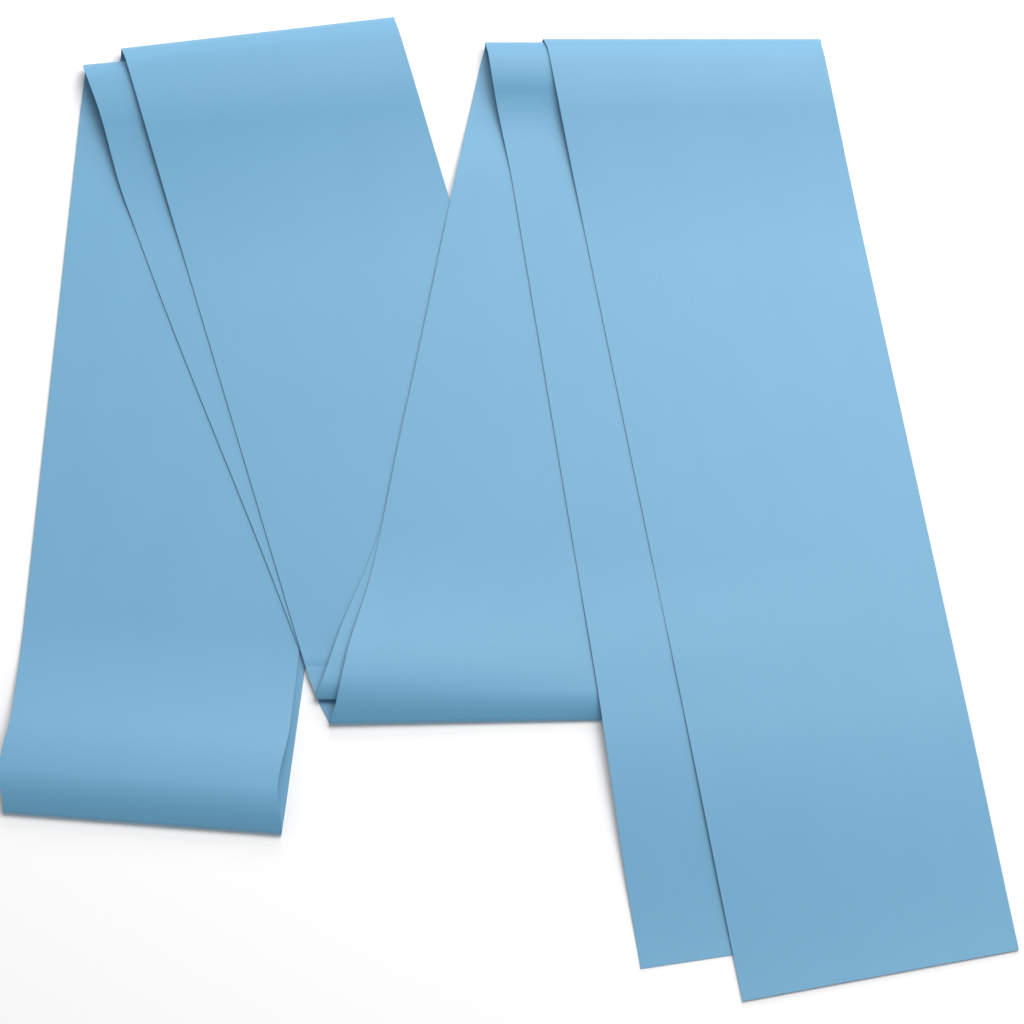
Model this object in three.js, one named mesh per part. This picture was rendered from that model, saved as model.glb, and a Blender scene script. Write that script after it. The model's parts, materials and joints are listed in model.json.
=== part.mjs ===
// A stretching strap for physiotherapy: one flat rubber band, folded in half and laid down in a zigzag.
//
// The band runs, without a break, from the upper tail's end to the lower tail's end:
//   upper tail -> top right outer fold -> third leg lower -> bottom inner fold -> second leg upper
//   -> top left outer fold -> first leg lower -> middle loop -> first leg upper -> top left inner fold
//   -> second leg lower -> bottom outer fold -> third leg upper -> top right inner fold -> lower tail.
// It lies on a table: +Z up, +X right, +Y away from the user. All lengths are millimetres.

import * as THREE from "three";

// Driving dimensions of the band.
const BAND_WIDTH = 125;
const BAND_THICKNESS = 0.4;
const LAYER_PITCH = 0.75; // a layer lies this far above the layer under it
const JOIN_GAP = 0.3; // clearance between two lengths of band that follow each other

// The plan of the zigzag: where the band's centre line meets each fold line, and the fold line's slant.
const PLAN = {
  upperTailEnd: { x: 163.2, y: -213, slant: 10.6 },
  topRightOuter: { x: 78.6, y: 226, slant: 0 },
  bottomInner: { x: -23, y: -89.5, slant: -1.5 },
  topLeftOuter: { x: -118.5, y: 229, slant: 7 },
  middleLoop: { x: -165.5, y: -144.5, slant: -4.5 },
  topLeftInner: { x: -135.5, y: 219.5, slant: 5.5 },
  bottomOuter: { x: -17, y: -98, slant: 1 },
  topRightInner: { x: 50.8, y: 224.4, slant: 0 },
  lowerTailEnd: { x: 118.5, y: -200.5, slant: 8.6 },
};

// Lines across the band at which a length can be lifted.
const TAIL_BEND = { x: 104, y: -122, slant: 9.5 };
const UPPER_TAIL_BEND = { x: 148, y: -166, slant: 10.6 };
const LOOP_BEND = { x: -160, y: -73, slant: -4.5 };

// How high each fold's loop stands over the strand it starts from, at its west and its east end.
// A loop turns a tight tip, rises to its crest, falls away over the crown and settles on the layers below.
const TALL_LOOP = { tipShare: 0.35, tipTurn: 130, crown: 24, settle: 70 };
const SNUG_LOOP = { tipShare: 0.35, tipTurn: 130, crown: 14, settle: 24 };
const WIDE_LOOP = { tipShare: 0.35, tipTurn: 130, crown: 30, settle: 76 };
const NESTED_LOOP = { tipShare: 0.35, tipTurn: 130, crown: 20, settle: 60 };
const FLAT_LOOP = { tipShare: 0.2, tipTurn: 150, crown: 16, settle: 50 };
const LONG_LOOP = { tipShare: 0.2, tipTurn: 150, crown: 24, settle: 50 };
const LOOPS = {
  topRightOuter: { west: 12, east: 12, shape: TALL_LOOP },
  topRightInner: { west: 10, east: 10, shape: SNUG_LOOP },
  topLeftOuter: { west: 13, east: 13, shape: WIDE_LOOP },
  topLeftInner: { west: 9.5, east: 9.5, shape: NESTED_LOOP },
  bottomOuter: { west: 9, east: 5.2, shape: FLAT_LOOP },
  bottomInner: { west: 3.6, east: 2, shape: FLAT_LOOP },
  middleLoop: { west: 8, east: 8, shape: LONG_LOOP },
};
const FOLD_REACH = { lower: 16, upper: 26 }; // how far a fold's two halves reach in from the fold line
const PROFILE_STEP = 0.2;
const FOLD_STATIONS = 12;
const FOLD_CROWDING = 1.7; // stations crowd towards the tip, where the band bends most
const LEG_STEP = 7;
const EDGE_TURN = 11; // band on each side of a tip over which its edges swing from leg to leg

const radians = (degrees) => (degrees * Math.PI) / 180;
const smooth = (share) => share * share * (3 - 2 * share);
const clamp01 = (value) => Math.min(1, Math.max(0, value));

// The side view of a loop: out along the table, up and round the tip, over the crest and down to its landing.
// Each point holds its distance in from the tip, its height and its distance along the band from the tip.
function loopProfile(height, landing, { tipShare, tipTurn, crown, settle }) {
  const turn = radians(tipTurn);
  const tilt = (2 * (height - landing)) / (crown + settle);
  const tipRadius = tipShare * height;
  const backRadius = (height - tipRadius * (1 - Math.cos(turn))) / (1 + Math.cos(turn));
  const stretches = [
    { length: tipRadius * turn, bend: 1 / tipRadius },
    { length: backRadius * (Math.PI - turn), bend: 1 / backRadius },
    { length: crown, bend: tilt / crown },
    { length: settle, bend: -tilt / settle },
  ];
  const points = [{ inward: 0, height: 0, along: 0 }];
  let heading = 0;
  for (const { length, bend } of stretches) {
    const steps = Math.max(1, Math.ceil(length / PROFILE_STEP));
    const step = length / steps;
    for (let i = 0; i < steps; i++) {
      const last = points.at(-1);
      const middle = heading + (bend * step) / 2;
      points.push({
        inward: last.inward - Math.cos(middle) * step,
        height: last.height + Math.sin(middle) * step,
        along: last.along + step,
      });
      heading += bend * step;
    }
  }
  const outermost = points.reduce((best, point) => (point.inward < best.inward ? point : best));
  return points.map((point) => ({
    inward: point.inward - outermost.inward,
    height: point.height,
    along: point.along - outermost.along,
  }));
}

// A value read off a list of points that rise in one of their fields, held flat past both ends.
function readProfile(points, field, at, wanted) {
  if (at <= points[0][field]) return points[0][wanted];
  const next = points.findIndex((point) => point[field] > at);
  if (next < 0) return points.at(-1)[wanted];
  const [a, b] = [points[next - 1], points[next]];
  const share = (at - a[field]) / (b[field] - a[field]);
  return a[wanted] + (b[wanted] - a[wanted]) * share;
}

// Heights of the layer under each leg, as [distance from the leg's start, west edge, east edge], and how far
// the leg sways sideways, as [distance from its start, shift along its width].
const L = (layer) => layer * LAYER_PITCH;
const LEGS = {
  upperTail: {
    from: "topRightOuter",
    to: "upperTailEnd",
    heights: [
      [250, L(7), L(7)],
      [300, L(9.4), L(7)],
      [324, L(9.4), L(7)],
      [446, L(1), L(1)],
    ],
  },
  thirdLegLower: {
    from: "bottomInner",
    to: "topRightOuter",
    heights: [
      [260, L(4), L(4)],
      [303, 0, 0],
    ],
    sway: [
      [30, 0],
      [75, 2.4],
      [150, 1.5],
      [303, 0],
    ],
  },
  secondLegUpper: { from: "topLeftOuter", to: "bottomInner", heights: [[0, L(3), L(3)]] },
  firstLegLower: { from: "topLeftOuter", to: "middleLoop", heights: [[0, 0, 0]] },
  firstLegUpper: {
    from: "middleLoop",
    to: "topLeftInner",
    heights: [[0, L(1), L(1)]],
    sway: [
      [0, 0],
      [20, -3.4],
      [50, -0.5],
      [80, 0],
    ],
  },
  secondLegLower: {
    from: "topLeftInner",
    to: "bottomOuter",
    heights: [
      [296, L(2), L(2)],
      [317, 0, 0],
    ],
    sway: [
      [20, 0],
      [70, -3.2],
      [110, -3.2],
      [290, 0],
    ],
  },
  thirdLegUpper: {
    from: "bottomOuter",
    to: "topRightInner",
    heights: [
      [260, L(5), L(5)],
      [303, L(1), L(1)],
    ],
    sway: [
      [30, 0],
      [75, 2.6],
      [150, 1.5],
      [303, 0],
    ],
  },
  lowerTail: {
    from: "topRightInner",
    to: "lowerTailEnd",
    heights: [
      [245, L(6), L(6)],
      [298, L(8.9), L(6)],
      [318, L(8.9), L(6)],
      [430, 0, 0],
    ],
    sway: [
      [20, 0],
      [70, 1.5],
      [290, 1.5],
      [400, 0],
    ],
  },
};

// The two legs that each fold joins: the one it starts from and the one it leads up to.
const FOLDS = {
  topRightOuter: { lower: "thirdLegLower", upper: "upperTail" },
  topRightInner: { lower: "thirdLegUpper", upper: "lowerTail" },
  topLeftOuter: { lower: "firstLegLower", upper: "secondLegUpper" },
  topLeftInner: { lower: "firstLegUpper", upper: "secondLegLower" },
  bottomOuter: { lower: "secondLegLower", upper: "thirdLegUpper" },
  bottomInner: { lower: "secondLegUpper", upper: "thirdLegLower" },
  middleLoop: { lower: "firstLegLower", upper: "firstLegUpper" },
};

// A fold starts at the lower leg's height there, and its loop lands at the upper leg's.
const profiles = {};
for (const [name, fold] of Object.entries(FOLDS)) {
  const { west, east, shape } = LOOPS[name];
  fold.base = LEGS[fold.lower].heights.at(-1)[1];
  fold.landing = LEGS[fold.upper].heights[0][1] - fold.base;
  LEGS[fold.upper].over = name;
  profiles[name] = {
    west: loopProfile(west, fold.landing, shape),
    east: loopProfile(east, fold.landing, shape),
  };
}

// How far the upper strand of a loop stands over its landing, at a distance in from its tip.
function bulge(fold, side, inward) {
  const upper = profiles[fold][side].filter((point) => point.along >= 0);
  return readProfile(upper, "inward", inward, "height") - FOLDS[fold].landing;
}

// A leg with its plan direction. "Across" always points east, so both edges keep their side on every leg.
function layOut(leg) {
  const start = new THREE.Vector2(PLAN[leg.from].x, PLAN[leg.from].y);
  const end = new THREE.Vector2(PLAN[leg.to].x, PLAN[leg.to].y);
  const along = end.clone().sub(start).normalize();
  const across = new THREE.Vector2(-along.y, along.x);
  if (across.x < 0) across.negate();
  return { ...leg, start, along, across, length: start.distanceTo(end) };
}

const legs = {};
for (const [name, leg] of Object.entries(LEGS)) legs[name] = layOut(leg);

const SIDES = { west: -BAND_WIDTH / 2, east: BAND_WIDTH / 2 };

// How far along a leg one of its edges meets a line across the plan, moved on by some distance square to it.
function edgeMeets(leg, side, line, onward = 0) {
  const slant = radians(line.slant);
  const square = new THREE.Vector2(-Math.sin(slant), Math.cos(slant));
  if (square.dot(leg.along) < 0) square.negate();
  const edge = leg.start.clone().addScaledVector(leg.across, SIDES[side]);
  const gap = new THREE.Vector2(line.x, line.y).sub(edge).dot(square) + onward;
  return gap / leg.along.dot(square);
}

// The share of a leg's length that a point on one edge has passed, from its first fold line to its last.
function lengthShare(leg, side, travel) {
  const first = edgeMeets(leg, side, PLAN[leg.from]);
  const last = edgeMeets(leg, side, PLAN[leg.to]);
  return (travel - first) / (last - first);
}

// A column of a list whose rows start with a distance, eased from row to row and held flat past both ends.
function readList(rows, distance, column) {
  const next = rows.findIndex((row) => row[0] > distance);
  if (next === 0) return rows[0][column];
  if (next < 0) return rows.at(-1)[column];
  const [a, b] = [rows[next - 1], rows[next]];
  return a[column] + (b[column] - a[column]) * smooth((distance - a[0]) / (b[0] - a[0]));
}

// How far in from a fold's tip line a point on one edge lies.
function inwardOf(leg, side, travel, fold) {
  const slant = radians(PLAN[fold].slant);
  const square = Math.abs(leg.along.x * -Math.sin(slant) + leg.along.y * Math.cos(slant));
  return Math.abs(travel - edgeMeets(leg, side, PLAN[fold])) * square;
}

// The height of the band's lower face, from the leg's own list and from the loop that it comes out of.
function faceHeight(leg, side, travel) {
  const distance = lengthShare(leg, side, travel) * leg.length;
  const height = readList(leg.heights, distance, side === "west" ? 1 : 2);
  return leg.over ? height + bulge(leg.over, side, inwardOf(leg, side, travel, leg.over)) : height;
}

// The plan of a point on one edge, with the leg's sideways sway.
function edgePlan(leg, side, travel) {
  const distance = lengthShare(leg, side, travel) * leg.length;
  const sway = leg.sway ? readList(leg.sway, distance, 1) : 0;
  return leg.start
    .clone()
    .addScaledVector(leg.across, SIDES[side] + sway)
    .addScaledVector(leg.along, travel);
}

function edgePoint(leg, side, travel, height) {
  const plan = edgePlan(leg, side, travel);
  return new THREE.Vector3(plan.x, plan.y, height + BAND_THICKNESS / 2);
}

// A station is one straight line across the band, from its west edge to its east edge.
function legStation(leg, westTravel, eastTravel) {
  return {
    west: edgePoint(leg, "west", westTravel, faceHeight(leg, "west", westTravel)),
    east: edgePoint(leg, "east", eastTravel, faceHeight(leg, "east", eastTravel)),
  };
}

// Stations along a leg between two lines across it.
function legStations(leg, from, to) {
  const west = [edgeMeets(leg, "west", from.line, from.onward), edgeMeets(leg, "west", to.line, to.onward)];
  const east = [edgeMeets(leg, "east", from.line, from.onward), edgeMeets(leg, "east", to.line, to.onward)];
  const count = Math.max(2, Math.ceil((west[1] - west[0]) / LEG_STEP));
  const stations = [];
  for (let i = 0; i <= count; i++) {
    const share = i / count;
    stations.push(
      legStation(leg, west[0] + (west[1] - west[0]) * share, east[0] + (east[1] - east[0]) * share),
    );
  }
  return stations;
}

// Half of a fold: from the split near its tip, back to where the leg takes over.
function foldStations(fold, half, splitHeight) {
  const spots = {};
  for (const side of ["west", "east"]) {
    const profile = profiles[fold][side];
    const rising = profile.filter((point, i) => i === 0 || point.height > profile[i - 1].height);
    const splitAt = splitHeight ?? LOOPS[fold][side] * LOOPS[fold].shape.tipShare;
    const split = readProfile(rising, "height", splitAt, "along");
    spots[side] = foldSpots(profile, half, split, FOLD_REACH[half]);
  }
  return spots.west.map((spot, i) => ({
    west: foldPoint(fold, "west", spot),
    east: foldPoint(fold, "east", spots.east[i]),
  }));
}

// Places on a loop's side view, spaced evenly along the band, from the split to the end of the fold's reach.
function foldSpots(profile, half, split, reach) {
  const spots = [];
  const start = split + (half === "upper" ? JOIN_GAP / 2 : -JOIN_GAP / 2);
  const upper = profile.filter((point) => point.along >= 0);
  const flatFrom = profile[0].along;
  const endAlong =
    half === "upper"
      ? readProfile(upper, "inward", reach - JOIN_GAP / 2, "along")
      : flatFrom - (reach - JOIN_GAP / 2 - profile[0].inward);
  for (let i = 0; i < FOLD_STATIONS; i++) {
    const along = start + (endAlong - start) * (i / (FOLD_STATIONS - 1)) ** FOLD_CROWDING;
    const pastFlat = Math.max(0, flatFrom - along);
    spots.push({
      inward: readProfile(profile, "along", along, "inward") + pastFlat,
      height: readProfile(profile, "along", along, "height"),
      along,
    });
  }
  return spots;
}

// Where a leg's edge lies along a fold's line, at a distance in from that line.
function edgeAlongFold(fold, legName, side, inward) {
  const leg = legs[legName];
  const outward = leg.from === fold ? 1 : -1;
  const plan = edgePlan(leg, side, edgeMeets(leg, side, PLAN[fold], outward * inward));
  return plan.sub(new THREE.Vector2(PLAN[fold].x, PLAN[fold].y)).dot(foldLine(fold));
}

function foldLine(fold) {
  const slant = radians(PLAN[fold].slant);
  return new THREE.Vector2(Math.cos(slant), Math.sin(slant));
}

// Round the tip, an edge swings smoothly from the lower leg's edge line to the upper leg's.
function foldPoint(fold, side, spot) {
  const { lower, upper, base } = FOLDS[fold];
  const share = smooth(clamp01((spot.along + EDGE_TURN) / (2 * EDGE_TURN)));
  const onLower = edgeAlongFold(fold, lower, side, spot.inward);
  const onUpper = edgeAlongFold(fold, upper, side, spot.inward);
  const line = foldLine(fold);
  const inwards = new THREE.Vector2(-line.y, line.x);
  if (inwards.dot(legs[upper].along) < 0) inwards.negate();
  const plan = new THREE.Vector2(PLAN[fold].x, PLAN[fold].y)
    .addScaledVector(line, onLower + (onUpper - onLower) * share)
    .addScaledVector(inwards, spot.inward);
  return new THREE.Vector3(plan.x, plan.y, base + spot.height + BAND_THICKNESS / 2);
}

// A closed solid: every station is thickened to a thin rectangle, and each is joined to the next.
function bandSolid(stations) {
  const corners = [];
  stations.forEach((station, i) => {
    const before = stations[Math.max(0, i - 1)];
    const after = stations[Math.min(stations.length - 1, i + 1)];
    const along = after.west.clone().sub(before.west).add(after.east).sub(before.east);
    const across = station.east.clone().sub(station.west);
    const offset = along.cross(across).setLength(BAND_THICKNESS / 2);
    corners.push(station.west.clone().add(offset), station.east.clone().add(offset));
    corners.push(station.east.clone().sub(offset), station.west.clone().sub(offset));
  });
  const index = [];
  const quad = (a, b, c, d) => index.push(a, b, c, a, c, d);
  for (let i = 0; i < stations.length - 1; i++) {
    for (let k = 0; k < 4; k++) {
      const next = (k + 1) % 4;
      quad(4 * i + k, 4 * i + next, 4 * i + 4 + next, 4 * i + 4 + k);
    }
  }
  const last = 4 * (stations.length - 1);
  quad(3, 2, 1, 0);
  quad(last, last + 1, last + 2, last + 3);
  const geometry = new THREE.BufferGeometry();
  geometry.setAttribute("position", new THREE.Float32BufferAttribute(corners.flatMap((c) => c.toArray()), 3));
  geometry.setIndex(index);
  return outwardFacing(geometry);
}

// Turns the faces round when the solid came out inside out.
function outwardFacing(geometry) {
  const place = geometry.getAttribute("position");
  const index = geometry.getIndex().array;
  const corner = (i) => new THREE.Vector3().fromBufferAttribute(place, index[i]);
  let volume = 0;
  for (let i = 0; i < index.length; i += 3) volume += corner(i).dot(corner(i + 1).cross(corner(i + 2)));
  if (volume < 0) {
    for (let i = 0; i < index.length; i += 3) [index[i + 1], index[i + 2]] = [index[i + 2], index[i + 1]];
  }
  geometry.computeVertexNormals();
  return geometry;
}

const rubber = new THREE.MeshStandardMaterial({ color: 0x86badb, roughness: 0.55, metalness: 0 });
const strap = new THREE.Group();

function addLength(name, stations) {
  const mesh = new THREE.Mesh(bandSolid(stations), rubber);
  mesh.name = name;
  strap.add(mesh);
}

// A line across a leg: a fold's line moved in by its half's reach, or a bend line, with half the gap left.
const pastFold = (fold, half) => ({ line: PLAN[fold], onward: FOLD_REACH[half] + JOIN_GAP / 2 });
const beforeFold = (fold, half) => ({ line: PLAN[fold], onward: -FOLD_REACH[half] - JOIN_GAP / 2 });
const pastLine = (line) => ({ line, onward: JOIN_GAP / 2 });
const beforeLine = (line) => ({ line, onward: -JOIN_GAP / 2 });
const atEnd = (end) => ({ line: PLAN[end], onward: 0 });

function addFold(name, fold, splitHeight) {
  addLength(`${name}_bottom`, foldStations(fold, "lower", splitHeight));
  addLength(`${name}_top`, foldStations(fold, "upper", splitHeight));
}

// The first leg lies on the table, and its near end holds the band's middle loop.
addLength(
  "first_leg_lower",
  legStations(legs.firstLegLower, pastFold("topLeftOuter", "lower"), beforeLine(LOOP_BEND)),
);
addLength(
  "loop_strip_lower",
  legStations(legs.firstLegLower, pastLine(LOOP_BEND), beforeFold("middleLoop", "lower")),
);
addLength(
  "loop_strip_upper",
  legStations(legs.firstLegUpper, pastFold("middleLoop", "upper"), beforeLine(LOOP_BEND)),
);
addLength(
  "first_leg_upper",
  legStations(legs.firstLegUpper, pastLine(LOOP_BEND), beforeFold("topLeftInner", "lower")),
);
addFold("middle_loop", "middleLoop");

// The second leg folds over the first at the top left.
const TOP_SPLIT = { outer: 6.6, inner: 5.6 };
addFold("top_left_outer_fold", "topLeftOuter", TOP_SPLIT.outer);
addFold("top_left_inner_fold", "topLeftInner", TOP_SPLIT.inner);
addLength(
  "second_leg_lower",
  legStations(legs.secondLegLower, pastFold("topLeftInner", "upper"), beforeFold("bottomOuter", "lower")),
);
addLength(
  "second_leg_upper",
  legStations(legs.secondLegUpper, pastFold("topLeftOuter", "upper"), beforeFold("bottomInner", "lower")),
);

// The third leg folds back over the second at the bottom.
addFold("bottom_outer_fold", "bottomOuter");
addFold("bottom_inner_fold", "bottomInner");
addLength(
  "third_leg_lower",
  legStations(legs.thirdLegLower, pastFold("bottomInner", "upper"), beforeFold("topRightOuter", "lower")),
);
addLength(
  "third_leg_upper",
  legStations(legs.thirdLegUpper, pastFold("bottomOuter", "upper"), beforeFold("topRightInner", "lower")),
);

// The two tails fold over the third leg at the top right and run down to their cut ends.
addFold("top_right_outer_fold", "topRightOuter", TOP_SPLIT.outer);
addFold("top_right_inner_fold", "topRightInner", TOP_SPLIT.inner);
addLength(
  "lower_tail",
  legStations(legs.lowerTail, pastFold("topRightInner", "upper"), beforeLine(TAIL_BEND)),
);
addLength("lower_tail_end", legStations(legs.lowerTail, pastLine(TAIL_BEND), atEnd("lowerTailEnd")));
addLength(
  "upper_tail",
  legStations(legs.upperTail, pastFold("topRightOuter", "upper"), beforeLine(TAIL_BEND)),
);
addLength(
  "upper_tail_near_end",
  legStations(legs.upperTail, pastLine(TAIL_BEND), beforeLine(UPPER_TAIL_BEND)),
);
addLength("upper_tail_end", legStations(legs.upperTail, pastLine(UPPER_TAIL_BEND), atEnd("upperTailEnd")));

// The part's origin is the middle of its footprint, on the table.
const box = new THREE.Box3().setFromObject(strap);
strap.position.set(-(box.min.x + box.max.x) / 2, -(box.min.y + box.max.y) / 2, -box.min.z);

export default strap;
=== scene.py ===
# %% [markdown]
# # A stretching strap, folded in half and laid in a zigzag
#
# The strap is one flat rubber band, 125 mm wide and about 3 m long, cut square at both ends. It is folded in
# half and then laid down three times over itself, so it lies in pairs of layers with soft, unpressed folds.
#
# The imported model already holds where each length of the band lies. These cells read the band's middle
# surface out of it, make one smooth band from that, cut it into pieces where the strap can be bent or
# unfolded, and give it the finish of dusted natural rubber.
#
# The frame is loaded first, because the pieces that lie straight are tied to its bodies.

# %% Load the frame
import json
import math

import bmesh
import bpy
import numpy as np
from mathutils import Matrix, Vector


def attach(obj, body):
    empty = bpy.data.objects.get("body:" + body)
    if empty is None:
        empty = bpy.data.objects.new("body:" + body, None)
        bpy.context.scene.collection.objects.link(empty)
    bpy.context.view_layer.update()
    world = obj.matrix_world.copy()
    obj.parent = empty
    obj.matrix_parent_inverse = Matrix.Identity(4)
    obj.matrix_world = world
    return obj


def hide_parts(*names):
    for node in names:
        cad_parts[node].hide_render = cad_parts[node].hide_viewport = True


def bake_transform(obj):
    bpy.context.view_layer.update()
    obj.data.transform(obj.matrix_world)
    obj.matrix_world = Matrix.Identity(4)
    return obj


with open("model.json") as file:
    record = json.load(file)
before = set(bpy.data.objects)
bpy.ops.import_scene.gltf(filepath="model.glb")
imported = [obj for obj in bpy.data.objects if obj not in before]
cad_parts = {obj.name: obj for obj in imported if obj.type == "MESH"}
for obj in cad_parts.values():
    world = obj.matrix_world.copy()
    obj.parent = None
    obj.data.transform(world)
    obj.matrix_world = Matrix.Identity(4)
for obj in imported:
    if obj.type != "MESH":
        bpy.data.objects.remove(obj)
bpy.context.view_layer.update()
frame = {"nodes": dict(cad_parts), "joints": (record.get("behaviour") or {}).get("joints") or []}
MM = 0.001
joints = {joint["name"]: joint for joint in frame["joints"]}

# %% [markdown]
# ## Where the band lies
#
# Each node of the model is a thin closed strip, made of stations: straight lines from the band's west edge to
# its east edge, each with four corners. Walking the strip from one end to the other, ring by ring, gives the
# stations back in order. The middle of each pair of corners is then a point on the band's middle surface.
# The alternative, a second list of places typed in here, would drift from the model as soon as one changes.


# %% Read the stations of one length
def end_ring(corners):
    """The four corners at one end of a strip. They have fewer neighbours than those further in."""
    loose = {corner for corner in corners if len(corner.link_edges) < 6}
    ring = {min(loose, key=lambda corner: corner.index)}
    while True:
        touched = {edge.other_vert(corner) for corner in ring for edge in corner.link_edges}
        grown = ring | (touched & loose)
        if grown == ring:
            return ring
        ring = grown


def stations_of(node):
    """An array of stations, each a west point and an east point, from one end of a node to the other."""
    strip = bmesh.new()
    strip.from_mesh(frame["nodes"][node].data)
    bmesh.ops.remove_doubles(strip, verts=strip.verts, dist=0.001 * MM)
    strip.verts.index_update()
    ring = end_ring(strip.verts)
    walked = set(ring)
    stations = []
    while ring:
        by_x = sorted(ring, key=lambda corner: corner.co.x)
        west = (by_x[0].co + by_x[1].co) / 2
        east = (by_x[2].co + by_x[3].co) / 2
        stations.append((tuple(west), tuple(east)))
        ring = {edge.other_vert(corner) for corner in ring for edge in corner.link_edges} - walked
        walked |= ring
    strip.free()
    return np.array(stations)


trial = stations_of("upper_tail")
trial_width = np.linalg.norm(trial[0, 1] - trial[0, 0]) / MM
print(f"upper_tail has {len(trial)} stations, each {trial_width:.1f} mm long")

# %% [markdown]
# ## One band, in the order in which it was folded
#
# The lengths are strung together from the upper tail's cut end to the lower tail's cut end. Every station
# then has a place along the band, which is what a tape measure would read on the unfolded strap.

# %% String the lengths together
BAND_ORDER = [
    "upper_tail_end",
    "upper_tail_near_end",
    "upper_tail",
    "top_right_outer_fold_top",
    "top_right_outer_fold_bottom",
    "third_leg_lower",
    "bottom_inner_fold_top",
    "bottom_inner_fold_bottom",
    "second_leg_upper",
    "top_left_outer_fold_top",
    "top_left_outer_fold_bottom",
    "first_leg_lower",
    "loop_strip_lower",
    "middle_loop_bottom",
    "middle_loop_top",
    "loop_strip_upper",
    "first_leg_upper",
    "top_left_inner_fold_bottom",
    "top_left_inner_fold_top",
    "second_leg_lower",
    "bottom_outer_fold_bottom",
    "bottom_outer_fold_top",
    "third_leg_upper",
    "top_right_inner_fold_bottom",
    "top_right_inner_fold_top",
    "lower_tail",
    "lower_tail_end",
]


def apart(a, b):
    return np.linalg.norm(a.mean(0) - b.mean(0))


lengths = [stations_of(node) for node in BAND_ORDER]
if apart(lengths[0][0], lengths[1][0]) < apart(lengths[0][-1], lengths[1][0]):
    lengths[0] = lengths[0][::-1]
for i in range(1, len(lengths)):
    last = lengths[i - 1][-1]
    if apart(lengths[i][-1], last) < apart(lengths[i][0], last):
        lengths[i] = lengths[i][::-1]

band = np.concatenate(lengths)
steps = np.linalg.norm(np.diff(band, axis=0), axis=2).mean(1)
along = np.concatenate([[0], np.cumsum(steps)])
ends_at = np.cumsum([len(stations) for stations in lengths])
starts_at = ends_at - [len(stations) for stations in lengths]
node_starts = {}
node_ends = {}
for i, node in enumerate(BAND_ORDER):
    first, last = starts_at[i], ends_at[i] - 1
    node_starts[node] = along[first] if i == 0 else (along[first - 1] + along[first]) / 2
    node_ends[node] = along[last] if i == len(lengths) - 1 else (along[last] + along[last + 1]) / 2
BAND_WIDTH = float(np.linalg.norm(band[0, 1] - band[0, 0]))
print(f"{len(band)} stations; the band is {along[-1]:.3f} m long and {BAND_WIDTH / MM:.1f} mm wide")

# %% [markdown]
# ## A smooth line through the stations
#
# Straight lines between stations would show as facets on the folds. A cubic curve through both edges, with
# its slope at a station taken from its two neighbours, keeps every station where it is and rounds the rest.


# %% Smooth the band's two edges
def slopes_of(places, points):
    """The slope of a curve at each of its points, weighted towards the nearer neighbour."""
    gaps = np.diff(places)[:, None, None]
    rises = np.diff(points, axis=0) / gaps
    middle = (rises[1:] * gaps[:-1] + rises[:-1] * gaps[1:]) / (gaps[1:] + gaps[:-1])
    return np.concatenate([rises[:1], middle, rises[-1:]])


band_slopes = slopes_of(along, band)


def band_at(places):
    """The west and east points of the band at each of these places along it."""
    i = np.clip(np.searchsorted(along, places, side="right") - 1, 0, len(along) - 2)
    gap = (along[i + 1] - along[i])[:, None, None]
    t = ((places - along[i]) / (along[i + 1] - along[i]))[:, None, None]
    ends = (1 + 2 * t) * (1 - t) ** 2 * band[i] + t * t * (3 - 2 * t) * band[i + 1]
    leans = t * (1 - t) ** 2 * band_slopes[i] - t * t * (1 - t) * band_slopes[i + 1]
    return ends + leans * gap


FINE_STEP = 3.5 * MM
FOLD_PARTS = 3  # each step between stations is cut into at least this many


def places_between(first, last):
    """Places along the band from first to last, as close together as the stations ask for."""
    inner = along[(along > first + 0.1 * MM) & (along < last - 0.1 * MM)]
    knots = np.concatenate([[first], inner, [last]])
    places = [first]
    for a, b in zip(knots[:-1], knots[1:]):
        parts = max(FOLD_PARTS, math.ceil((b - a) / FINE_STEP))
        places.extend(np.linspace(a, b, parts + 1)[1:])
    return np.array(places)


everywhere = places_between(along[0], along[-1])
print(f"{len(everywhere)} fine stations from end to end")

# %% [markdown]
# ## The surface, as Geometry Nodes
#
# A flat band follows two lines, its edges. So the tree takes the two edges as points, lays out a grid with
# one row for each station, and pulls every row into a straight line from its west point to its east point.
# It also stores the place along and across the band as the UV map, which the rubber's grain follows round
# each fold. Sweeping a profile along one centre line would not do: at a fold the rows lie at a slant.


# %% Build the tree that skins two edges
def node_in(tree, kind, settings=None, links=None):
    """Adds a node with its settings, then links or sets its inputs."""
    node = tree.nodes.new(kind)
    for name, value in (settings or {}).items():
        setattr(node, name, value)
    for socket, source in (links or {}).items():
        if isinstance(source, bpy.types.NodeSocket):
            tree.links.new(source, node.inputs[socket])
        else:
            node.inputs[socket].default_value = source
    return node


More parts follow.
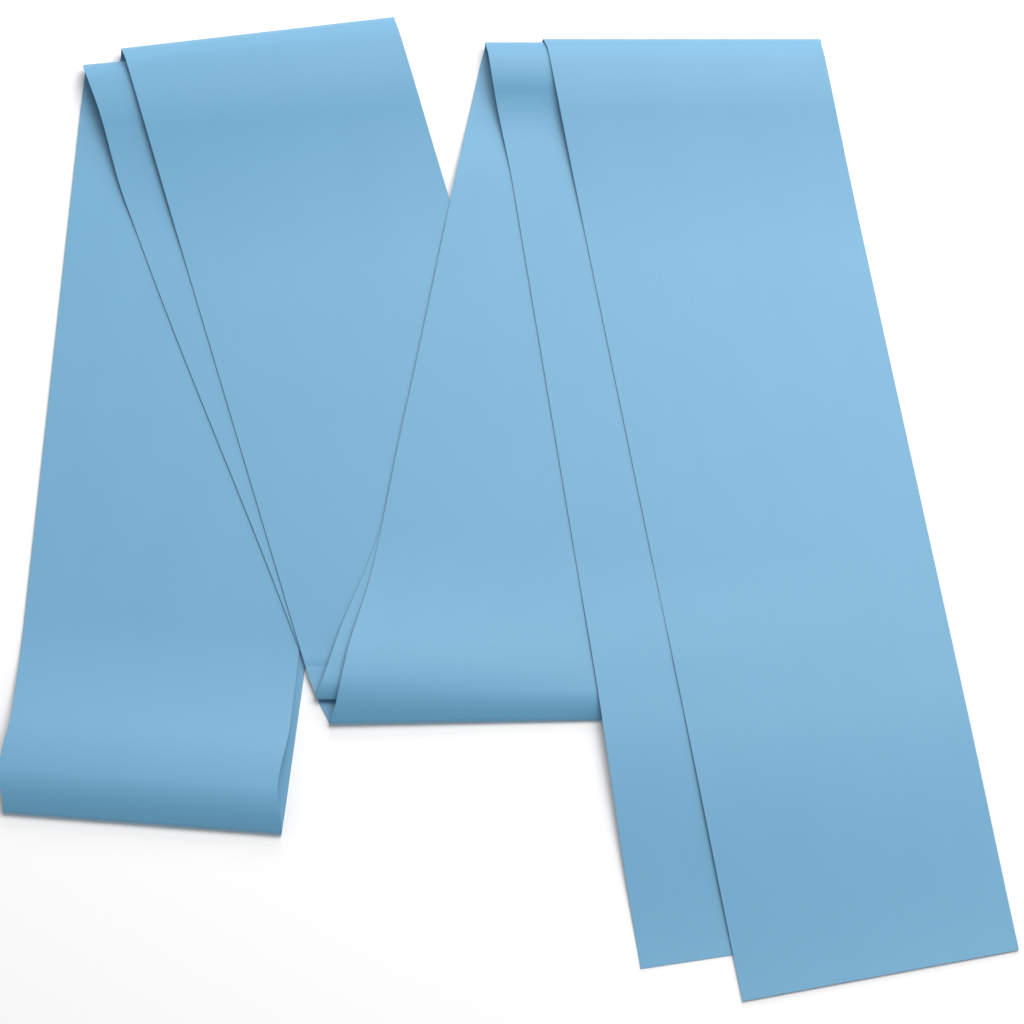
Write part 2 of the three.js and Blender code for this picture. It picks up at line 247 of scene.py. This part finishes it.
def skin_tree():
    tree = bpy.data.node_groups.new("band skin", "GeometryNodeTree")
    wanted = [
        ("Edges", "NodeSocketGeometry"),
        ("Stations", "NodeSocketInt"),
        ("Points across", "NodeSocketInt"),
        ("Band width", "NodeSocketFloat"),
        ("Rubber", "NodeSocketMaterial"),
    ]
    for name, kind in wanted:
        tree.interface.new_socket(name, in_out="INPUT", socket_type=kind)
    tree.interface.new_socket("Surface", in_out="OUTPUT", socket_type="NodeSocketGeometry")
    given = node_in(tree, "NodeGroupInput").outputs

    grid = node_in(
        tree,
        "GeometryNodeMeshGrid",
        links={"Vertices X": given["Stations"], "Vertices Y": given["Points across"]},
    )
    index = node_in(tree, "GeometryNodeInputIndex").outputs[0]
    divided = node_in(tree, "ShaderNodeMath", {"operation": "DIVIDE"}, {0: index, 1: given["Points across"]})
    row = node_in(tree, "ShaderNodeMath", {"operation": "FLOOR"}, {0: divided.outputs[0]}).outputs[0]
    column = node_in(
        tree, "ShaderNodeMath", {"operation": "MODULO"}, {0: index, 1: given["Points across"]}
    ).outputs[0]
    last = node_in(
        tree, "ShaderNodeMath", {"operation": "SUBTRACT"}, {0: given["Points across"], 1: 1.0}
    ).outputs[0]
    share = node_in(tree, "ShaderNodeMath", {"operation": "DIVIDE"}, {0: column, 1: last}).outputs[0]
    east_row = node_in(
        tree, "ShaderNodeMath", {"operation": "ADD"}, {0: row, 1: given["Stations"]}
    ).outputs[0]

    place = node_in(tree, "GeometryNodeInputPosition").outputs[0]
    take_point = {"data_type": "FLOAT_VECTOR"}
    west = node_in(
        tree,
        "GeometryNodeSampleIndex",
        take_point,
        {"Geometry": given["Edges"], "Value": place, "Index": row},
    ).outputs[0]
    east = node_in(
        tree,
        "GeometryNodeSampleIndex",
        take_point,
        {"Geometry": given["Edges"], "Value": place, "Index": east_row},
    ).outputs[0]
    pulled = node_in(
        tree, "ShaderNodeMix", {"data_type": "VECTOR"}, {"Factor": share, 4: west, 5: east}
    ).outputs[1]

    tape = node_in(tree, "GeometryNodeInputNamedAttribute", {"data_type": "FLOAT"}, {"Name": "along"})
    reading = node_in(
        tree,
        "GeometryNodeSampleIndex",
        {"data_type": "FLOAT"},
        {"Geometry": given["Edges"], "Value": tape.outputs[0], "Index": row},
    ).outputs[0]
    across = node_in(
        tree, "ShaderNodeMath", {"operation": "MULTIPLY"}, {0: share, 1: given["Band width"]}
    ).outputs[0]
    tape_place = node_in(tree, "ShaderNodeCombineXYZ", links={"X": reading, "Y": across}).outputs[0]
    kept = node_in(
        tree, "GeometryNodeCaptureAttribute", {"domain": "POINT"}, {"Geometry": grid.outputs["Mesh"]}
    )
    kept.capture_items.new("VECTOR", "tape place")
    tree.links.new(tape_place, kept.inputs[1])
    mapped = node_in(
        tree,
        "GeometryNodeStoreNamedAttribute",
        {"data_type": "FLOAT2", "domain": "CORNER"},
        {"Geometry": kept.outputs[0], "Name": "UVMap", "Value": kept.outputs[1]},
    )
    shaped = node_in(
        tree, "GeometryNodeSetPosition", links={"Geometry": mapped.outputs[0], "Position": pulled}
    )
    smooth = node_in(tree, "GeometryNodeSetShadeSmooth", links={0: shaped.outputs[0]})
    real = node_in(tree, "GeometryNodeRealizeInstances", links={"Geometry": smooth.outputs[0]})
    finished = node_in(
        tree, "GeometryNodeSetMaterial", links={"Geometry": real.outputs[0], "Material": given["Rubber"]}
    )
    node_in(tree, "NodeGroupOutput", links={0: finished.outputs[0]})
    return tree


band_skin = skin_tree()
print(f"band skin has {len(band_skin.nodes)} nodes")

# %% [markdown]
# ## The rubber
#
# Bands like this are calendered natural rubber: latex with a blue pigment, rolled into a sheet and dusted
# with powder so that the layers do not stick. To the eye that is a smooth matt satin with hardly any grain,
# a soft wide gleam where the light comes in low, and a faint cloudiness along the rolling direction. Along
# both long edges a thin darker line is painted shade, standing in for the shadow where one layer steps down
# onto the next. The pattern follows the UV map, so it bends with the band instead of sliding over it.

# %% Mix the dusted rubber
RUBBER_BLUE = "#599FC5"
RUBBER_DEEP = "#549AC0"
# painted shade: a darker blue laid on the faces along both long edges, for the shadow line where one layer
# steps onto the next
PAINTED_EDGE_SHADE_BLUE = "#4A8CB0"
CLOUD_LENGTH = 60 * MM  # the rolled sheet's faint streaks
GRAIN_SIZE = 0.9 * MM  # the real grain is finer, and this is as coarse as it needs to show
# how far in from each long edge the painted edge shade reaches
EDGE_BAND = 0.35 * MM


def linear(hex_colour):
    """An sRGB hex colour as linear RGBA."""
    channels = [int(hex_colour[i : i + 2], 16) / 255 for i in (1, 3, 5)]
    turned = [c / 12.92 if c <= 0.04045 else ((c + 0.055) / 1.055) ** 2.4 for c in channels]
    return (*turned, 1.0)


def dusted_rubber():
    material = bpy.data.materials.new("dusted natural rubber")
    material.use_nodes = True
    tree = material.node_tree
    tree.nodes.clear()
    tape = node_in(tree, "ShaderNodeUVMap", {"uv_map": "UVMap"}).outputs[0]

    streaked = node_in(tree, "ShaderNodeMapping", links={"Vector": tape, "Scale": (1, 2.5, 1)}).outputs[0]
    clouds = node_in(
        tree,
        "ShaderNodeTexNoise",
        links={"Vector": streaked, "Scale": 1 / CLOUD_LENGTH, "Detail": 3.0, "Roughness": 0.55},
    ).outputs["Fac"]
    tint = node_in(
        tree,
        "ShaderNodeMix",
        {"data_type": "RGBA"},
        {"Factor": clouds, 6: linear(RUBBER_DEEP), 7: linear(RUBBER_BLUE)},
    ).outputs[2]

    split = node_in(tree, "ShaderNodeSeparateXYZ", links={"Vector": tape}).outputs
    from_east = node_in(
        tree, "ShaderNodeMath", {"operation": "SUBTRACT"}, {0: BAND_WIDTH, 1: split["Y"]}
    ).outputs[0]
    to_edge = node_in(
        tree, "ShaderNodeMath", {"operation": "MINIMUM"}, {0: split["Y"], 1: from_east}
    ).outputs[0]
    # painted shade mask: strongest at each long edge, fading to nothing over EDGE_BAND
    edge_shade_mask = node_in(
        tree,
        "ShaderNodeMapRange",
        {"interpolation_type": "SMOOTHSTEP"},
        {"Value": to_edge, "From Min": 0.0, "From Max": EDGE_BAND, "To Min": 0.7, "To Max": 0.0},
    ).outputs[0]
    # the rubber's own cloudy blue, with the painted edge shade mixed in along the edges
    colour = node_in(
        tree, "ShaderNodeMix", {"data_type": "RGBA"}, {"Factor": edge_shade_mask, 6: tint, 7: linear(PAINTED_EDGE_SHADE_BLUE)}
    ).outputs[2]

    grain = node_in(
        tree,
        "ShaderNodeTexNoise",
        links={"Vector": tape, "Scale": 1 / GRAIN_SIZE, "Detail": 2.0, "Roughness": 0.6},
    ).outputs["Fac"]
    relief = node_in(
        tree, "ShaderNodeBump", links={"Height": grain, "Strength": 0.12, "Distance": 0.05 * MM}
    ).outputs[0]
    gloss = node_in(
        tree,
        "ShaderNodeMapRange",
        links={"Value": grain, "From Min": 0.3, "From Max": 0.7, "To Min": 0.5, "To Max": 0.6},
    ).outputs[0]
    surface = node_in(
        tree,
        "ShaderNodeBsdfPrincipled",
        links={
            "Base Color": colour,
            "Roughness": gloss,
            "IOR": 1.52,
            "Specular IOR Level": 1.0,
            "Sheen Weight": 0.3,
            "Sheen Roughness": 0.5,
            "Normal": relief,
        },
    )
    node_in(tree, "ShaderNodeOutputMaterial", links={"Surface": surface.outputs[0]})
    return material


rubber = dusted_rubber()
print(f"{rubber.name}: colour {RUBBER_BLUE}, grain {GRAIN_SIZE / MM:.1f} mm")

# %% [markdown]
# ## From two edges to a piece of rubber
#
# The tree gives a surface with no thickness, so Solidify gives it the thickness of the band, half to each
# side. The result is turned into a plain mesh, its long edges are marked sharp, and the modifiers are gone
# before the lengths that lie straight are tied to a body.

# %% Make one piece of the band
BAND_THICKNESS = 0.4 * MM
POINTS_ACROSS = 33
SHARP_FROM = math.radians(50)


def set_input(modifier, tree, name, value):
    socket = next(s for s in tree.interface.items_tree if s.name == name and s.in_out == "INPUT")
    modifier[socket.identifier] = value


def skin_between(name, first, last):
    """A closed strip of rubber from one place along the band to another."""
    places = places_between(first, last)
    edges = band_at(places)
    mesh = bpy.data.meshes.new(name + "_edges")
    points = np.concatenate([edges[:, 0], edges[:, 1]])
    mesh.from_pydata(points.tolist(), [], [])
    reading = mesh.attributes.new("along", "FLOAT", "POINT")
    reading.data.foreach_set("value", np.tile(places, 2).astype(np.float32))
    strip = bpy.data.objects.new(name + "_edges", mesh)
    bpy.context.scene.collection.objects.link(strip)
    skin = strip.modifiers.new("skin", "NODES")
    skin.node_group = band_skin
    set_input(skin, band_skin, "Stations", len(places))
    set_input(skin, band_skin, "Points across", POINTS_ACROSS)
    set_input(skin, band_skin, "Band width", BAND_WIDTH)
    set_input(skin, band_skin, "Rubber", rubber)
    wall = strip.modifiers.new("thickness", "SOLIDIFY")
    wall.thickness = BAND_THICKNESS
    wall.offset = 0
    evaluated = strip.evaluated_get(bpy.context.evaluated_depsgraph_get())
    baked = bpy.data.meshes.new_from_object(evaluated)
    baked.name = name + "_rubber"
    baked.set_sharp_from_angle(angle=SHARP_FROM)
    bpy.data.objects.remove(strip)
    piece = bpy.data.objects.new(baked.name, baked)
    bpy.context.scene.collection.objects.link(piece)
    return piece


def declare(piece, first, last, nodes):
    """Hides the CAD lengths a piece stands for, and prints how much band it was cut from and its number of
    faces.
    """
    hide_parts(*nodes)
    print(f"{piece.name}: {(last - first) / MM:.1f} mm of band, {len(piece.data.polygons)} faces")

# %% [markdown]
# ## The lengths that stay straight
#
# The legs of the zigzag and the folds at its bottom move as one with the body they lie on. They are cut where
# one length of the model ends and the next begins, so neighbours share their last line and show no seam.
# Where a length can be lifted, the cut lies a little before the line of that bend, so the bend has rubber on
# both sides of it.

# %% Find where a length can be bent
def joint_line(name):
    """A hinge's point and its direction across the band, and the level direction square to it."""
    point = Vector(joints[name]["pos_m"])
    axis = Vector(joints[name]["axis"]).normalized()
    square = Vector((0, 0, 1)).cross(axis)
    if square.y > 0:
        square.negate()
    return point, axis, square


def place_past(name, distance, node):
    """The place along the band, on or next to a node, that lies a distance past a hinge line, towards -Y."""
    point, _, square = joint_line(name)
    index = BAND_ORDER.index(node)
    near = BAND_ORDER[max(0, index - 1)], BAND_ORDER[min(len(BAND_ORDER) - 1, index + 1)]
    places = np.linspace(node_starts[near[0]], node_ends[near[1]], 4000)
    middles = band_at(places).mean(1)
    past = (middles - np.array(point)) @ np.array(square)
    return float(places[np.argmin(np.abs(past - distance))])


BEND_LEAD = 10 * MM  # rubber before the hinge line that already begins to turn
TAIL_REACH = 40 * MM
LOOP_REACH = 50 * MM
cuts = {
    "upper tail tip": place_past("upper_tail_bend", -BEND_LEAD / 2, "upper_tail_near_end"),
    "upper tail bend": place_past("tail_bend", -BEND_LEAD, "upper_tail"),
    "lower tail bend": place_past("tail_bend", -BEND_LEAD, "lower_tail"),
    "lower loop bend": place_past("loop_bend", -BEND_LEAD, "first_leg_lower"),
    "lower loop end": place_past("loop_bend", LOOP_REACH, "loop_strip_lower"),
    "upper loop end": place_past("loop_bend", LOOP_REACH, "loop_strip_upper"),
    "upper loop bend": place_past("loop_bend", -BEND_LEAD, "first_leg_upper"),
}
for name, place in cuts.items():
    print(f"{name}: {place:.3f} m along the band")

# %% [markdown]
# Each row below names a piece, the body it rides on, how it is held and what it rests on. Its place along the
# band comes from the lengths of the model with its name, except at the ends that a bend takes over.

# %% Make the lengths that ride on one body
STRAIGHT_LENGTHS = [
    # piece, body, how it is held, what it rests on
    ("upper_tail", "tails", "laid", "lower_tail"),
    ("third_leg_lower", "inner_legs", "laid", "second_leg_upper"),
    ("bottom_inner_fold", "inner_legs", "folded", "bottom_outer_fold"),
    ("second_leg_upper", "inner_legs", "laid", "second_leg_lower"),
    ("first_leg_lower", "first_leg", "laid", "floor"),
    ("middle_loop", "middle_loop", "folded", "floor"),
    ("first_leg_upper", "first_leg", "laid", "first_leg_lower"),
    ("second_leg_lower", "inner_legs", "laid", "first_leg_upper"),
    ("bottom_outer_fold", "inner_legs", "folded", "floor"),
    ("third_leg_upper", "inner_legs", "laid", "third_leg_lower"),
    ("lower_tail", "tails", "laid", "third_leg_upper"),
]
STARTS_AT_A_BEND = {
    "upper_tail": cuts["upper tail bend"],
    "middle_loop": cuts["lower loop end"],
    "first_leg_upper": cuts["upper loop bend"],
}
ENDS_AT_A_BEND = {
    "first_leg_lower": cuts["lower loop bend"],
    "middle_loop": cuts["upper loop end"],
    "lower_tail": cuts["lower tail bend"],
}


def lengths_named(name):
    """The lengths of the model that a piece stands for: one, or the two halves of a fold."""
    return [node for node in BAND_ORDER if node in (name, name + "_top", name + "_bottom")]


for name, body, held, rests_on in STRAIGHT_LENGTHS:
    nodes = lengths_named(name)
    first = STARTS_AT_A_BEND.get(name, node_starts[nodes[0]])
    last = ENDS_AT_A_BEND.get(name, node_ends[nodes[-1]])
    piece = skin_between(name, first, last)
    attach(piece, body)
    declare(piece, first, last, nodes)

# %% [markdown]
# ## The lengths at the bends
#
# Rubber has no hinge: it turns gradually. These pieces are the lengths around the bends, cut at the places
# found above; each keeps the shape the model lays it in and is not tied to a body. A turn spread over too
# short a stretch would look like a crease.

# %% Make the lengths at the bends
UPPER_TIP_LEAD = BEND_LEAD / 2  # the stretch between the two tail bends is short
tip_ends = (along[0], cuts["upper tail tip"])
near_end_ends = (cuts["upper tail tip"], cuts["upper tail bend"])
lower_tip_ends = (cuts["lower tail bend"], along[-1])
lower_strip_ends = (cuts["lower loop bend"], cuts["lower loop end"])
upper_strip_ends = (cuts["upper loop end"], cuts["upper loop bend"])
LENGTH_BEHIND = {
    "upper_tail_tip": "upper_tail_end",
    "upper_tail_bend": "upper_tail_near_end",
    "lower_tail_tip": "lower_tail_end",
    "loop_strip_lower": "loop_strip_lower",
    "loop_strip_upper": "loop_strip_upper",
}
BENT_LENGTHS = [
    # piece, hinge, its two ends, the turn's lead and reach, what it rests on
    ("upper_tail_tip", "upper_tail_bend", tip_ends, UPPER_TIP_LEAD, TAIL_REACH, "lower_tail_tip"),
    ("upper_tail_bend", "tail_bend", near_end_ends, BEND_LEAD, TAIL_REACH, "lower_tail_tip"),
    ("lower_tail_tip", "tail_bend", lower_tip_ends, BEND_LEAD, TAIL_REACH, "floor"),
    ("loop_strip_lower", "loop_bend", lower_strip_ends, BEND_LEAD, LOOP_REACH, "floor"),
    ("loop_strip_upper", "loop_bend", upper_strip_ends, BEND_LEAD, LOOP_REACH, "loop_strip_lower"),
]
for name, hinge, (first, last), lead, reach, rests_on in BENT_LENGTHS:
    piece = skin_between(name, first, last)
    point, _, square = joint_line(hinge)
    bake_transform(piece)
    declare(piece, first, last, [LENGTH_BEHIND[name]])

# %% [markdown]
# ## The folds at the top
#
# At the two top folds the band turns back on itself, an outer loop round an inner one. Each loop is made as
# one piece from the two halves the model gives it, keeps the shape the model lays it in and is not tied to a
# body.

# %% Make the folds at the top
OPENING_FOLDS = [
    # piece, hinge, what it rests on
    ("top_right_outer_fold", "top_right_fold", "floor"),
    ("top_right_inner_fold", "top_right_fold", "top_right_outer_fold"),
    ("top_left_outer_fold", "top_left_fold", "floor"),
    ("top_left_inner_fold", "top_left_fold", "top_left_outer_fold"),
]
for name, hinge, rests_on in OPENING_FOLDS:
    halves = lengths_named(name)
    first, last = node_starts[halves[0]], node_ends[halves[1]]
    piece = skin_between(name, first, last)
    point = joint_line(hinge)[0]
    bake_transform(piece)
    declare(piece, first, last, halves)

# %% [markdown]
# ## The table, the light and the camera
#
# The strap is shown alone on a pale matt table. The table is only there to catch shadows and to throw light
# back under the raised folds, so it is staged: it is not part of the strap.

# %% Lay the pale table
TABLE_WHITE = "#FFFFFF"
TABLE_HALF_SIDE = 3.0  # metres, past everything the camera sees
floor_mesh = bpy.data.meshes.new("table_top")
side = TABLE_HALF_SIDE
corners = [(-side, -side, 0), (side, -side, 0), (side, side, 0), (-side, side, 0)]
floor_mesh.from_pydata(corners, [], [(0, 1, 2, 3)])
floor = bpy.data.objects.new("floor", floor_mesh)
bpy.context.scene.collection.objects.link(floor)


def pale_laminate():
    material = bpy.data.materials.new("pale matt laminate")
    material.use_nodes = True
    tree = material.node_tree
    tree.nodes.clear()
    surface = node_in(
        tree, "ShaderNodeBsdfPrincipled", links={"Base Color": linear(TABLE_WHITE), "Roughness": 0.7}
    )
    node_in(tree, "ShaderNodeOutputMaterial", links={"Surface": surface.outputs[0]})
    return material


floor_mesh.materials.append(pale_laminate())
print(f"a table {2 * TABLE_HALF_SIDE:.0f} m square")

# %% [markdown]
# ## The light
#
# Almost all the light comes from a broad softbox high up behind the strap, near the place where a mirror on
# the table would show it. That puts a soft white veil on the level rubber and leaves the slopes that face the
# camera deeper in colour. A low strip further back catches the crests of the folds, and the pale room fills
# in the rest. The softbox stands to the right, so the strap gets slowly darker to the left.

# %% Light the table
ROOM_STRENGTH = 0.37
scene = bpy.context.scene
scene.view_settings.view_transform = "Standard"
room = bpy.data.worlds.new("pale room")
scene.world = room
room.use_nodes = True
background = room.node_tree.nodes["Background"]
background.inputs["Color"].default_value = linear("#FFFFFF")
background.inputs["Strength"].default_value = ROOM_STRENGTH


def soft_light(name, place, size, power):
    """A rectangle of light, aimed at the middle of the strap."""
    lamp = bpy.data.lights.new(name, "AREA")
    lamp.shape = "RECTANGLE"
    lamp.size, lamp.size_y = size
    lamp.energy = power
    holder = bpy.data.objects.new(name, lamp)
    holder.location = place
    holder.rotation_euler = (-Vector(place)).to_track_quat("-Z", "Y").to_euler()
    scene.collection.objects.link(holder)


soft_light("top_softbox", place=(0.5, 0.7, 1.5), size=(1.4, 1.1), power=25)
soft_light("back_strip", place=(0.2, 1.6, 0.7), size=(2.0, 0.5), power=11)
print("two soft lights and a pale room")

# %% [markdown]
# ## The camera
#
# The camera looks down steeply, from the side with the free ends. It stands far off with a long lens, so the
# strap's sides stay nearly parallel. It aims at the middle of the laid strap.

# %% Place the camera
CAMERA_DISTANCE = 2.3
CAMERA_HEIGHT = math.radians(75)
LENS = 178  # mm, on a 36 mm sensor
aim = Vector((2.2, -6.3, 0)) * MM
eye = bpy.data.cameras.new("camera")
eye.lens = LENS
eye.sensor_width = 36
eye.clip_start = 0.05
camera = bpy.data.objects.new("camera", eye)
back = Vector((0, -math.cos(CAMERA_HEIGHT), math.sin(CAMERA_HEIGHT)))
camera.location = aim + back * CAMERA_DISTANCE
camera.rotation_euler = (math.pi / 2 - CAMERA_HEIGHT, 0, 0)
scene.collection.objects.link(camera)
scene.camera = camera
